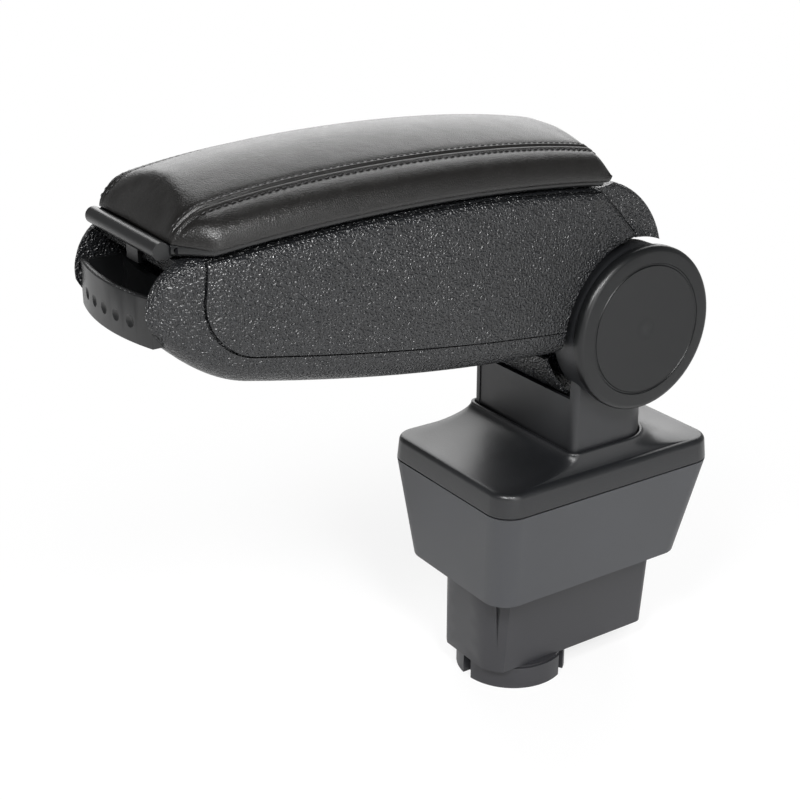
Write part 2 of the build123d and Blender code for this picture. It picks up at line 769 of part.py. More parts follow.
def cushion_section(forward):
    """Cross-section of the cushion: flat base, bulging sides up to the seams, crowned top.

    Both rises fall away towards the ends with the fourth power of the distance from the middle.
    """
    middle = (lid_rear + lid_front) / 2
    reach = (forward - middle) / (lid_front - middle)
    loss = cushion_front_loss if reach > 0 else cushion_rear_loss
    share = 1 - loss * reach ** 4
    seam_rise = cushion_seam_rise * share
    crown_rise = cushion_crown_rise * share
    x = at(forward, 0).X
    base = at(0, lid_top_at(forward)).Z + seat_gap
    half = lid_half_at(forward)
    seam = half - cushion_seam_inset * (cushion_inset_keep + (1 - cushion_inset_keep) * share)
    side_mid = (x, half - cushion_bulge[0] * (half - seam), base + cushion_bulge[1] * seam_rise)
    left = ThreePointArc((x, half, base), side_mid, (x, seam, base + seam_rise))
    top = ThreePointArc((x, seam, base + seam_rise), (x, 0, base + crown_rise), (x, -seam, base + seam_rise))
    right_mid = (side_mid[0], -side_mid[1], side_mid[2])
    right = ThreePointArc((x, -seam, base + seam_rise), right_mid, (x, -half, base))
    return outline(left, top, right, Line((x, -half, base), (x, half, base)))


def make_lid_cushion():
    """Padded cover of the lid, lofted through evenly spaced cross-sections."""
    step = (lid_front - lid_rear) / cushion_spans
    return loft([cushion_section(lid_rear + step * index) for index in range(cushion_spans + 1)])


def make_lid_hinge_pin():
    """Steel pin that the lid turns on."""
    return rod(*hinge_pin_place, hinge_pin_radius, -hinge_pin_half_length, hinge_pin_half_length)


def make_latch_lever():
    """Half-round strip under the lid's front edge with the latch tongue below its middle."""
    px, pz = lever_pin_place
    low = pz - lever_back_half_height
    high = pz + lever_back_half_height
    mid_z = (lever_strip_top + lever_strip_low) / 2
    upper = at(lever_strip_rear + lever_strip_lean, lever_strip_top)
    lower = at(lever_strip_front - lever_strip_tuck, lever_strip_low)
    face = outline(Line(at(lever_rear, low), at(lever_rear, high)),
                   Line(at(lever_rear, high), at(lever_strip_rear, high)),
                   Line(at(lever_strip_rear, high), upper),
                   ThreePointArc(upper, at(lever_strip_front, mid_z + lever_strip_lean), lower),
                   Line(lower, at(lever_strip_rear, lever_strip_low)),
                   Line(at(lever_strip_rear, lever_strip_low), at(lever_rear, low)))
    piece = slab(face, -lever_half_width, lever_half_width)
    root = keeper_rear + keeper_depth + joint_gap
    piece += block(at(root, 0).X, at(root + lever_tongue_thickness, 0).X, -lever_tongue_half_width,
                   lever_tongue_half_width, at(0, lever_strip_low - lever_tongue_length).Z,
                   at(0, lever_strip_low + lever_tongue_root).Z)
    piece -= rod(px, pz, lever_pin_radius + running_gap, -lever_half_width, lever_half_width)
    return piece


def make_lever_pin():
    """Thin pin that the latch lever turns on."""
    return rod(*lever_pin_place, lever_pin_radius, -lever_pin_half_length, lever_pin_half_length)


def bowed_wall(reach, bow, half, low, high, wall):
    """Wall of even thickness that bows forward in plan."""
    front = ThreePointArc(at(reach, low, -half), at(reach + bow, low, 0), at(reach, low, half))
    back = ThreePointArc(at(reach - wall, low, half), at(reach + bow - wall, low, 0), at(reach - wall, low, -half))
    face = outline(front, Line(front @ 1, back @ 0), back, Line(back @ 1, front @ 0))
    return extrude(face, amount=high - low, dir=(0, 0, 1))


def make_front_tray():
    """Pull-out tray: bowed front with five dimples, floor, back wall, ends and two runners."""
    low = bay_floor + panel_gap
    high = low + tray_height
    half = tray_half_width
    back = tray_end_reach - tray_depth
    front = bowed_wall(tray_end_reach, tray_bow, half, low, high, tray_wall)
    rim = front.edges().group_by(Axis.Z)[-1]
    front = fillet(rim, tray_lip_edge)
    piece = front + bowed_wall(tray_end_reach - tray_wall / 2, tray_bow, half, low, low + tray_floor, tray_depth)
    piece += bowed_wall(back + tray_wall, tray_bow, half, low, high - tray_back_drop, tray_wall)
    end = block(at(back + tray_end_set, 0).X, at(tray_end_reach - tray_end_set, 0).X, half - tray_wall, half,
                at(0, low).Z, at(0, high - tray_back_drop).Z)
    piece += both_sides(end)
    runner_rear = at(runner_bay_rear + joint_gap, 0).X
    runner = block(runner_rear, at(back + tray_runner_lap, 0).X, tray_runner_inner, tray_runner_outer, at(0, low).Z,
                   at(0, low + tray_runner_height).Z)
    piece += both_sides(runner)
    radius = (half ** 2 + tray_bow ** 2) / (2 * tray_bow)
    for index in range(dimple_count):
        y = (index - (dimple_count - 1) / 2) * dimple_pitch
        surface = tray_end_reach + tray_bow - radius + (radius ** 2 - y ** 2) ** 0.5
        ball_radius = (dimple_radius ** 2 + dimple_depth ** 2) / (2 * dimple_depth)
        centre = at(surface + ball_radius - dimple_depth, low + dimple_height, y)
        piece -= Pos(centre) * Sphere(ball_radius)
    return piece


pieces = {
    "console_insert": make_console_insert(),
    "base_housing": make_base_housing(),
    "housing_screws": make_housing_screws(),
    "base_cover": make_base_cover(),
    "post_shell_left": make_post_shell(1),
    "post_shell_right": make_post_shell(-1),
    "post_front_panel": make_post_front_panel(),
    "post_rear_panel": make_post_rear_panel(),
    "pivot_bolt": make_pivot_bolt(),
    "pivot_nut": make_pivot_nut(),
    "friction_washers": make_friction_washers(),
    "pivot_bushes": make_pivot_bushes(),
    "pivot_cap_left": make_pivot_cap(1),
    "pivot_cap_right": make_pivot_cap(-1),
    "arm_tub": make_arm_tub(),
    "side_panel_left": make_side_panel(1),
    "side_panel_right": make_side_panel(-1),
    "rear_cover": make_rear_cover(),
    "bin_liner": make_bin_liner(),
    "rim_bumpers": make_rim_bumpers(),
    "front_tray": make_front_tray(),
    "lid_base": make_lid_base(),
    "lid_cushion": make_lid_cushion(),
    "lid_hinge_pin": make_lid_hinge_pin(),
    "latch_lever": make_latch_lever(),
    "lever_pin": make_lever_pin(),
}

os.makedirs("parts", exist_ok=True)
for name, piece in pieces.items():
    export_step(piece, f"parts/{name}.step")
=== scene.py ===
import json
import math

import bpy
import numpy as np
from bpy.props import FloatProperty, FloatVectorProperty, PointerProperty
from mathutils import Matrix, Vector


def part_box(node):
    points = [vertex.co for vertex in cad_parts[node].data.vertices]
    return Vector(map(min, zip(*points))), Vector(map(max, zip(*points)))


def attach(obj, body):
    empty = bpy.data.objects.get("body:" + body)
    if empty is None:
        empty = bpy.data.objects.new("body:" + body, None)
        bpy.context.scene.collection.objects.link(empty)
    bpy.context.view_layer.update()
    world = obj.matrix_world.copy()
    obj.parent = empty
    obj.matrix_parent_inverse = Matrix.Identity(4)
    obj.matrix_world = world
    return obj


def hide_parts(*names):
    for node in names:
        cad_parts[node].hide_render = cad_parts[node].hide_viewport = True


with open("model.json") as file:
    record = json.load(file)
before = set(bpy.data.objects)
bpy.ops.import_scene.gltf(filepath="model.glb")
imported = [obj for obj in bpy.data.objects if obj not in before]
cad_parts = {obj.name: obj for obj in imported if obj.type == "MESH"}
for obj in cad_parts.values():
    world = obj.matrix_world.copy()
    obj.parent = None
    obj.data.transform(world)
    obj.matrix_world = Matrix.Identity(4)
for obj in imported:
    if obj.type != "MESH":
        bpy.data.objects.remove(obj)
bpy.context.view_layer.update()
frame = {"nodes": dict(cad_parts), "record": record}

bl_info = {
    "name": "Car Centre Armrest",
    "version": (1, 0, 0),
    "blender": (4, 5, 0),
    "location": "View3D > Sidebar > Armrest",
    "description": "Leather lid cushion, sewn seams, moulded finishes and studio for a car centre armrest",
    "category": "Object",
}

MM = 0.001
JOINTS = {joint["name"]: joint for joint in frame["record"]["behaviour"]["joints"]}
PIVOT = JOINTS["arm_fold"]["pos_m"]

# Grid of the cushion's skin
END_ROWS = 13
MIDDLE_ROWS = 90
FIRST_ANGLE = 0.08
SEAM_STEP = 0.45 * MM
SEAM_ROWS = 10
SIDE_ROWS = 12
TOP_ROWS = 26
BASE_ROWS = 9
BASE_SPAN = 0.9
BASE_LIFT = 4
BASE_GAP = -1.0
SEAM_MARGIN = 0.6 * MM
TOP_MARGIN = 2 * MM
BULGE_IN = 0.20
BULGE_UP = 0.66

# Sewn seam: folds, the valley between them and the dents outside them
FOLD_PLACE, FOLD_WIDTH, FOLD_HEIGHT = 1.3 * MM, 0.8 * MM, 0.55 * MM
VALLEY_WIDTH, VALLEY_DEPTH = 0.6 * MM, 0.75 * MM
DENT_PLACE, DENT_WIDTH, DENT_DEPTH = 3.2 * MM, 0.9 * MM, 0.30 * MM

# Padding: how the skin is held and how long the cloth is simulated
HELD_WIDTH = 4 * MM
FREE_WIDTH = 12 * MM
PINNED_SHARE = 0.97
CLOTH_FRAMES = 20

# Stitches
STITCH_RINGS = 8
STITCH_SIDES = 6
STITCH_MARGIN = 2
ARCH_HEIGHT = 0.55
ARCH_DIP = 0.9

# Base cover
ARC_STEPS = 12
SIDE_STEPS = 10
EDGE_STEPS = 7
SWEEP_STEPS = 26
FOOT_BEVEL = 0.3 * MM
LEAST_CORNER = 2 * MM
LIP_ROUND = 0.4
LIP_CROWN = 0.5 * MM

# Barrel shroud
SHROUD_STEPS = 40
SHROUD_ROWS = 9

# Joined and crisp edges
CLOSED_GAP = 0.001 * MM
FACET_GAP = 0.002 * MM
CRISP_ANGLE = math.radians(28)

# Studio: name, place, size and power setting of each light, in metres
LIGHT_TARGET = (0.06, 0.0, 0.22)
LIGHTS = (
    ("key light front", (0.92, 0.62, 1.12), 0.30, "key"),
    ("key light side", (0.40, 1.06, 1.12), 0.30, "key"),
    ("side light", (0.10, 1.40, 0.52), 0.80, "side"),
    ("back light", (-0.85, -1.25, 1.15), 1.9, "back"),
)
WALL_TOP = math.radians(20)
CEILING_START = math.radians(55)
FLOOR_STEPS = 64
FLOOR_DROP = 0.2 * MM
GLOW_NEAR = 0.1
GLOW_FAR = 0.45
GLOW_LEAST = 0.80
GLOSSY_GLOW = 0.42


def linear(code):
    """sRGB hex colour as linear red, green and blue."""
    share = np.array([int(code[place:place + 2], 16) for place in (1, 3, 5)]) / 255
    return tuple(np.where(share <= 0.04045, share / 12.92, ((share + 0.055) / 1.055) ** 2.4).tolist())


def length(name, description, size_mm):
    """Property for a length given in millimetres."""
    return FloatProperty(name=name, description=description, default=size_mm * MM, min=0.0, unit="LENGTH")


def share(name, description, value):
    """Property for a plain share or strength."""
    return FloatProperty(name=name, description=description, default=value, min=0.0)


def colour(name, description, code):
    """Property for a colour given as an sRGB hex value."""
    return FloatVectorProperty(name=name, description=description, default=linear(code), subtype="COLOR",
                               min=0.0, max=1.0)


class CushionSettings(bpy.types.PropertyGroup):
    """Sizes of the padded lid. Places along the arm are measured forward from the pivot."""

    rear: length("Rear", "Rear edge of the cushion, forward of the pivot", 19.6)
    front: length("Front", "Front edge of the cushion, forward of the pivot", 257.0)
    corner: length("Corner", "Where the angled front corner starts, forward of the pivot", 244.5)
    half_rear: length("Rear half width", "Half width of the leather at its rear edge", 49.3)
    half_middle: length("Middle half width", "Half width of the leather at its widest", 55.3)
    half_corner: length("Corner half width", "Half width of the leather where the front corner starts", 53.8)
    corner_blend: length("Corner blend", "How softly the leather turns the front corner", 1.2)
    half_front: length("Front half width", "Half width of the leather at its front edge", 37.6)
    base_rear: length("Rear base height", "Height of the lid above the pivot at the rim's rear end", 83.5)
    base_front: length("Front base height", "Height of the lid above the pivot at the rim's front end", 84.3)
    base_crown: length("Base crown", "Rise of the lid's top between the rim's two ends", 7.1)
    rim_rear: length("Rim rear", "Rear end of the crowned rim, forward of the pivot", 26.5)
    rim_front: length("Rim front", "Front end of the crowned rim, forward of the pivot", 247.5)
    seam_half: length("Seam half width", "Half distance between the two seams in the middle", 38.6)
    seam_taper: length("Seam taper", "How much nearer the seams come at either end", 1.8)
    seam_rise: length("Seam rise", "Height of the seams above the lid in the middle", 13.4)
    crown_rise: length("Crown rise", "Height of the cushion's middle line above the lid", 21.5)
    front_loss: share("Front loss", "Share of the rise that is lost towards the front", 0.22)
    rear_loss: share("Rear loss", "Share of the rise that is lost towards the rear", 0.14)
    front_round: length("Front rounding", "Length over which the front rolls down to the lid", 17.0)
    rear_round: length("Rear rounding", "Length over which the rear rolls down to the lid", 9.0)
    rear_corner: length("Rear corner", "Radius of the leather's lower rear corner in side view", 4.0)
    skirt: length("Skirt", "How far the leather is drawn down over the lid's edge", 3.4)
    skin: length("Skin", "Thickness of the leather where it wraps the lid's edge", 0.7)
    swell: length("Swell", "Furthest that the padding pushes the leather out", 2.2)
    pressure: share("Pressure", "Pressure of the padding in the cloth simulation", 4.0)
    stitch_pitch: length("Stitch pitch", "Distance from one stitch to the next", 3.6)
    stitch_length: length("Stitch length", "Length of one stitch", 2.7)
    thread: length("Thread", "Thickness of the sewing thread", 0.8)
    stitch_offset: length("Stitch offset", "Distance of each row of stitches from the seam", 2.6)


class CoverSettings(bpy.types.PropertyGroup):
    """Sizes of the base cover and its collar. Places along X are measured from the plug's middle."""

    seam_gap: length("Seam gap", "Shadow gap between the cover and the housing", 0.7)
    wall: length("Wall", "Thickness of the cover", 3.0)
    draft: length("Draft", "How far the rim leans in over its height", 1.0)
    edge: length("Edge radius", "Radius of the rim's upper edge", 3.2)
    corner: length("Corner radius", "Radius of the cover's corners in plan", 14.0)
    rim: length("Rim height", "Height of the rim above the seam", 14.0)
    collar: length("Collar rise", "Height of the collar above the rim", 10.0)
    lip: length("Lip", "Thickness of the collar at its mouth", 2.2)
    gap: length("Gap", "Shadow gap between the collar and the post", 0.7)
    post_front: FloatProperty(name="Post front", description="Front face of the post", default=-3.0 * MM,
                              unit="LENGTH")
    post_rear: FloatProperty(name="Post rear", description="Rear face of the post", default=-60.0 * MM,
                             unit="LENGTH")
    post_half: length("Post half width", "Half width of the post", 45.0)
    front_corner: length("Front corner", "Radius of the post's front corners", 3.5)
    rear_corner: length("Rear corner", "Radius of the post's rear corners", 20.0)


class ShroudSettings(bpy.types.PropertyGroup):
    """Sizes of the curved shroud under the barrel."""

    radius: length("Radius", "Outer radius of the shroud about the pivot", 48.8)
    thickness: length("Thickness", "Thickness of the shroud", 2.0)
    half: length("Half width", "Half width of the shroud", 34.5)
    start: FloatProperty(name="Start", description="Angle below level where the shroud leaves the arm",
                         default=math.radians(18), subtype="ANGLE")
    end: FloatProperty(name="End", description="Angle below level where the shroud ends inside the post",
                       default=math.radians(105), subtype="ANGLE")


class FinishSettings(bpy.types.PropertyGroup):
    """Colours and grain sizes of the finishes."""

    leather: colour("Leather", "Dyed leather of the cushion", "#100f0e")
    thread: colour("Thread", "Sewing thread of the seams", "#0d0d0e")
    grained: colour("Grained ABS", "Pebble-grained plastic of the arm", "#17181a")
    trim: colour("Satin ABS", "Smooth plastic of tray, lever and lid edge", "#0c0d0e")
    post: colour("Post plastic", "Satin plastic of the post", "#1c1d1f")
    cap: colour("Cap plastic", "Satin plastic of the pivot caps", "#0e0f10")
    cover: colour("Cover plastic", "Fine-grained plastic of the base cover", "#161719")
    base: colour("Base plastic", "Polypropylene of the base housing", "#36373a")
    insert: colour("Insert plastic", "Polypropylene of the console insert", "#29292c")
    liner: colour("Liner plastic", "Matt plastic of the bin liner", "#1d1d1e")
    rubber: colour("Rubber", "Rubber of the rim bumpers", "#161616")
    acetal: colour("Acetal", "Plain acetal of washers and bushes", "#d8d4c8")
    steel: colour("Zinc-plated steel", "Plating of bolt, nut and screws", "#b4b6b8")
    oxide: colour("Black oxide", "Blackened steel of the lever pin", "#1b1b1d")
    pebble: length("Pebble", "Width of one pebble of the arm's grain", 1.05)
    pebble_depth: length("Pebble depth", "Height of the pebbles of the arm's grain", 0.50)
    fine_grain: length("Fine grain", "Width of one grain on the base cover", 0.9)
    leather_grain: length("Leather grain", "Width of one pore cell of the leather", 1.1)


class StageSettings(bpy.types.PropertyGroup):
    """Camera, light and floor."""

    eye: FloatVectorProperty(name="Eye", description="Place of the camera",
                             default=(0.48280, 0.60153, 0.48394), subtype="TRANSLATION", unit="LENGTH")
    azimuth: FloatProperty(name="Azimuth", description="Turn of the camera round the object",
                           default=math.radians(33.873), subtype="ANGLE")
    elevation: FloatProperty(name="Elevation", description="Height angle of the camera",
                             default=math.radians(22.4295), subtype="ANGLE")
    lens: FloatProperty(name="Lens", description="Focal length for a 36 mm wide image", default=67.5,
                        subtype="DISTANCE_CAMERA")
    floor: colour("Floor", "Pale floor", "#f4f4f4")
    floor_radius: FloatProperty(name="Floor radius", description="Radius of the floor", default=9.0,
                                unit="LENGTH")
    key: FloatProperty(name="Key light", description="Power of each of the two soft lights above the front",
                       default=14.0, unit="POWER")
    side: FloatProperty(name="Side light", description="Power of the soft light beside the camera",
                        default=6.0, unit="POWER")
    back: FloatProperty(name="Back light", description="Power of the soft light behind the object",
                        default=28.0, unit="POWER")
    walls: share("Walls", "Strength of the white walls of the studio", 0.29)
    ceiling: share("Ceiling", "Strength of the dim ceiling of the studio", 0.02)


class ArmrestSettings(bpy.types.PropertyGroup):
    """All settings of the armrest."""

    cushion: PointerProperty(type=CushionSettings)
    cover: PointerProperty(type=CoverSettings)
    shroud: PointerProperty(type=ShroudSettings)
    finish: PointerProperty(type=FinishSettings)
    stage: PointerProperty(type=StageSettings)


def mesh_object(name, points, faces, smooth=True):
    """Object at the origin from an array of points and a list of faces."""
    mesh = bpy.data.meshes.new(name)
    mesh.from_pydata(points.reshape(-1, 3).tolist(), [], faces)
    mesh.polygons.foreach_set("use_smooth", np.full(len(mesh.polygons), smooth))
    mesh.update()
    made = bpy.data.objects.new(name, mesh)
    bpy.context.scene.collection.objects.link(made)
    return made


def grid_faces(rows, columns, closed_columns):
    """Quads of a grid of points, row after row; closed_columns joins the last column to the first."""
    row = np.arange(rows - 1)[:, None]
    column = np.arange(columns if closed_columns else columns - 1)[None, :]
    following = (column + 1) % columns
    corners = (row * columns + column, row * columns + following, (row + 1) * columns + following,
               (row + 1) * columns + column)
    return np.stack(np.broadcast_arrays(*corners), -1).reshape(-1, 4)


def tube_faces(rows, columns):
    """Faces of a closed run of rings: the quads between them and one face over either end."""
    ends = [list(range(columns))[::-1], list(range((rows - 1) * columns, rows * columns))]
    return grid_faces(rows, columns, True).tolist() + ends


def grid_normals(points):
    """Unit normals of a grid of points: the cross product of its two tangents."""
    along = np.gradient(points, axis=0)
    around = np.gradient(points, axis=1)
    normals = np.cross(around, along)
    size = np.linalg.norm(normals, axis=-1, keepdims=True)
    return normals / np.maximum(size, 1e-12)


def cushion_half(sizes, forward):
    """Half width of the leather, from its rear edge to its corner and on to its front edge.

    A parabola runs to the corner and a straight line to the front. The two meet in a soft minimum, so the corner
    is rounded.
    """
    part = (forward - sizes.rear) / (sizes.corner - sizes.rear)
    chord = sizes.half_rear + part * (sizes.half_corner - sizes.half_rear)
    crown = sizes.half_middle - (sizes.half_rear + sizes.half_corner) / 2
    angled = (forward - sizes.corner) / (sizes.front - sizes.corner)
    straight = sizes.half_corner + angled * (sizes.half_front - sizes.half_corner)
    bowed = chord + 4 * crown * part * (1 - part)
    return -sizes.corner_blend * np.logaddexp(-straight / sizes.corner_blend, -bowed / sizes.corner_blend)


def cushion_rows(sizes):
    """Places along the arm and how far the roll at either end has risen there.

    The ends are quarter ellipses, stepped by angle, and the stretch between them is even.
    """
    angle = np.linspace(FIRST_ANGLE, math.pi / 2, END_ROWS)
    rear = sizes.rear + sizes.rear_round * (1 - np.cos(angle))
    front = sizes.front - sizes.front_round * (1 - np.cos(angle[::-1]))
    middle = np.linspace(rear[-1], front[0], MIDDLE_ROWS)[1:-1]
    forward = np.concatenate([rear, middle, front])
    roll = np.concatenate([np.sin(angle), np.ones(len(middle)), np.sin(angle[::-1])])
    return forward, roll


def cushion_grid(sizes):
    """Points of the cushion's skin, the distance of each from its seam, and its share of the end rolls.

    Each cross-section goes from the left lower edge up a bulging side to the left seam, over a top crowned as
    a parabola to the right seam, down the right side and back along the flat base, which lies on the lid inside
    the skirt that wraps the lid's edge. The skirt fades out at the angled front and ends in a quarter circle at
    the rear. Columns stand close together at the seams. Seam and crown rise above the lid and lose a share
    with the fourth power towards the ends.
    """
    forward, roll = cushion_rows(sizes)
    middle = (sizes.rear + sizes.front) / 2
    reach = (forward - middle) / (sizes.front - middle)
    kept = 1 - np.where(reach > 0, sizes.front_loss, sizes.rear_loss) * reach ** 4
    along = (forward - sizes.rim_rear) / (sizes.rim_front - sizes.rim_rear)
    base = sizes.base_rear + along * (sizes.base_front - sizes.base_rear)
    base = base + 4 * sizes.base_crown * along * (1 - along)
    half = cushion_half(sizes, forward)
    seam = np.minimum(sizes.seam_half - sizes.seam_taper * reach ** 2, half - SEAM_MARGIN)
    drawn = sizes.skirt * np.clip((sizes.front - forward) / (sizes.front - sizes.corner), 0, 1)
    short = 1 - np.clip((forward - sizes.rear) / sizes.rear_corner, 0, 1)
    drawn = drawn * np.sqrt(1 - short ** 2)
    base = base - drawn
    seam_rise = (sizes.seam_rise * kept + drawn) * roll
    crown_rise = (sizes.crown_rise * kept + drawn) * roll

    near = np.arange(SEAM_ROWS) * SEAM_STEP
    side_length = np.hypot(half - seam, seam_rise)[:, None]
    walked = np.maximum(side_length, 2 * near[-1])
    climb = np.linspace(0, 1, SIDE_ROWS, endpoint=False)[None, :]
    side_share = np.concatenate([climb * (1 - near[-1] / walked), 1 - near[::-1] / walked], axis=1)
    bulge_y = (half - BULGE_IN * (half - seam))[:, None]
    bulge_z = (BULGE_UP * seam_rise)[:, None]
    edge_y, seam_y, seam_z = half[:, None], seam[:, None], seam_rise[:, None]
    control_y = 2 * bulge_y - (edge_y + seam_y) / 2
    control_z = 2 * bulge_z - seam_z / 2
    pull = 2 * side_share * (1 - side_share)
    left_y = (1 - side_share) ** 2 * edge_y + pull * control_y + side_share ** 2 * seam_y
    left_z = pull * control_z + side_share ** 2 * seam_z
    left_gap = (1 - side_share) * side_length

    inner = np.linspace(-1, 1, TOP_ROWS)[None, :] * (seam_y - near[-1] - TOP_MARGIN)
    top_y = np.concatenate([seam_y - near[None, 1:], -inner, near[None, :0:-1] - seam_y], axis=1)
    top_z = seam_z + (crown_rise - seam_rise)[:, None] * (1 - (top_y / seam_y) ** 2)
    top_gap = seam_y - np.abs(top_y)

    across = np.concatenate([[-1, -1], np.linspace(-BASE_SPAN, BASE_SPAN, BASE_ROWS), [1, 1]])
    base_y = across * (edge_y - sizes.skin)
    lifted = np.concatenate([[0], np.ones(BASE_ROWS + 2), [0]])
    base_rise = lifted * (drawn * np.minimum(1, BASE_LIFT * roll))[:, None]
    y = np.concatenate([left_y, top_y, -left_y[:, ::-1], base_y], axis=1)
    rise = np.concatenate([left_z, top_z, left_z[:, ::-1], base_rise], axis=1)
    signed = np.concatenate([-left_gap, top_gap, -left_gap[:, ::-1], np.full_like(base_y, BASE_GAP)], axis=1)
    x = np.broadcast_to((PIVOT[0] + forward)[:, None], y.shape)
    z = PIVOT[2] + base[:, None] + rise
    return np.stack([x, y, z], -1), signed, np.broadcast_to(roll[:, None], y.shape)


def bell(gap, place, width):
    """Bell curve of height one about a place."""
    return np.exp(-((gap - place) / width) ** 2)


def seam_relief(gap):
    """Height of the sewn seam across its width: two folds, a valley between them and a dent outside each."""
    folds = FOLD_HEIGHT * (bell(gap, FOLD_PLACE, FOLD_WIDTH) + bell(gap, -FOLD_PLACE, FOLD_WIDTH))
    valley = VALLEY_DEPTH * bell(gap, 0.0, VALLEY_WIDTH)
    dents = DENT_DEPTH * (bell(gap, DENT_PLACE, DENT_WIDTH) + bell(gap, -DENT_PLACE, DENT_WIDTH))
    return folds - valley - dents


def held_share(gap, roll):
    """How firmly the skin is held: fully at the seams, the base and the ends, and not at all between them."""
    free = np.clip((np.abs(gap) - HELD_WIDTH) / FREE_WIDTH, 0, 1)
    return 1 - free * free * (3 - 2 * free) * roll


def swell_cushion(skin, points, gap, roll, sizes):
    """Points after the padding has pushed the leather out in a cloth simulation, with the movement capped."""
    held = skin.vertex_groups.new(name="held")
    pinned = np.flatnonzero((held_share(gap, roll) > PINNED_SHARE) | (gap == BASE_GAP))
    held.add(pinned.tolist(), 1.0, "REPLACE")
    cloth = skin.modifiers.new("padding", "CLOTH")
    cloth.settings.quality = 6
    cloth.settings.mass = 0.3
    cloth.settings.tension_stiffness = 20
    cloth.settings.compression_stiffness = 20
    cloth.settings.bending_stiffness = 0.6
    cloth.settings.use_pressure = True
    cloth.settings.uniform_pressure_force = sizes.pressure
    cloth.settings.vertex_group_mass = held.name
    cloth.settings.effector_weights.gravity = 0
    cloth.collision_settings.use_collision = False
    cloth.point_cache.frame_end = CLOTH_FRAMES
    for step in range(1, CLOTH_FRAMES + 1):
        bpy.context.scene.frame_set(step)
    graph = bpy.context.evaluated_depsgraph_get()
    swollen = np.empty(points.size, np.float32)
    skin.evaluated_get(graph).data.vertices.foreach_get("co", swollen)
    skin.modifiers.remove(cloth)
    skin.vertex_groups.remove(held)
    bpy.context.scene.frame_set(1)
    move = swollen.reshape(points.shape).astype(float) - points
    size = np.linalg.norm(move, axis=-1, keepdims=True)
    cap = (sizes.swell * (1 - held_share(gap, roll)))[..., None]
    cap = np.where((gap == BASE_GAP)[..., None], 0.0, cap)
    return points + move * np.minimum(1.0, cap / np.maximum(size, 1e-9))


def stitch_mesh(centres, tangents, normals, half_length, radius):
    """Points and faces of stitches: each a spindle of thread that arches out of the leather and dips in again.

    Along the stitch t runs from -1 to 1; its radius follows a flattened ellipse and its height a parabola.
    """
    t = np.linspace(-1, 1, STITCH_RINGS)
    angle = np.linspace(0, 2 * math.pi, STITCH_SIDES + 1)[:-1]
    sideways = np.cross(tangents, normals)
    girth = radius * (1 - t ** 4) ** 0.5
    lift = radius * (ARCH_HEIGHT - ARCH_DIP * t ** 2)
    spine = centres[:, None, :] + half_length * t[None, :, None] * tangents[:, None, :]
    spine = spine + lift[None, :, None] * normals[:, None, :]
    ring = np.cos(angle)[None, :, None] * normals[:, None, :]
    ring = ring + np.sin(angle)[None, :, None] * sideways[:, None, :]
    points = spine[:, :, None, :] + girth[None, :, None, None] * ring[:, None, :, :]
    single = grid_faces(len(t), len(angle), True)
    step = len(t) * len(angle)
    faces = (np.arange(len(centres))[:, None, None] * step + single[None]).reshape(-1, 4)
    return points, faces


def along_path(path, values, pitch):
    """Values at even steps of arc length along a path, leaving half a step at either end."""
    walked = np.concatenate([[0], np.cumsum(np.linalg.norm(np.diff(path, axis=0), axis=1))])
    places = np.arange(pitch / 2, walked[-1] - pitch / 2, pitch)
    return np.stack([np.interp(places, walked, values[:, axis]) for axis in range(3)], -1)


def rounded_rings(rear, front, half, front_corner, rear_corner, height):
    """Rounded rectangles, one for each value of the arrays, run counter-clockwise as seen from above.

    Each corner is a quarter circle about its own centre, and even steps along the straight sides join them.
    """
    quarter = np.linspace(0, math.pi / 2, ARC_STEPS)
    runs = []
    corners = ((front, front_corner, 1, 1), (rear, rear_corner, -1, 1), (rear, rear_corner, -1, -1),
               (front, front_corner, 1, -1))
    for turn, (x, corner, side_x, side_y) in enumerate(corners):
        angle = quarter + turn * math.pi / 2
        runs.append(np.stack([(x - side_x * corner)[:, None] + corner[:, None] * np.cos(angle),
                              (side_y * (half - corner))[:, None] + corner[:, None] * np.sin(angle)], -1))
    step = np.linspace(0, 1, SIDE_STEPS + 1)[None, 1:-1, None]
    following = runs[1:] + runs[:1]
    sides = [run[:, -1:] + step * (after[:, :1] - run[:, -1:]) for run, after in zip(runs, following)]
    plan = np.concatenate([piece for pair in zip(runs, sides) for piece in pair], axis=1)
    return np.concatenate([plan, np.broadcast_to(height[:, None, None], plan.shape[:2] + (1,))], -1)


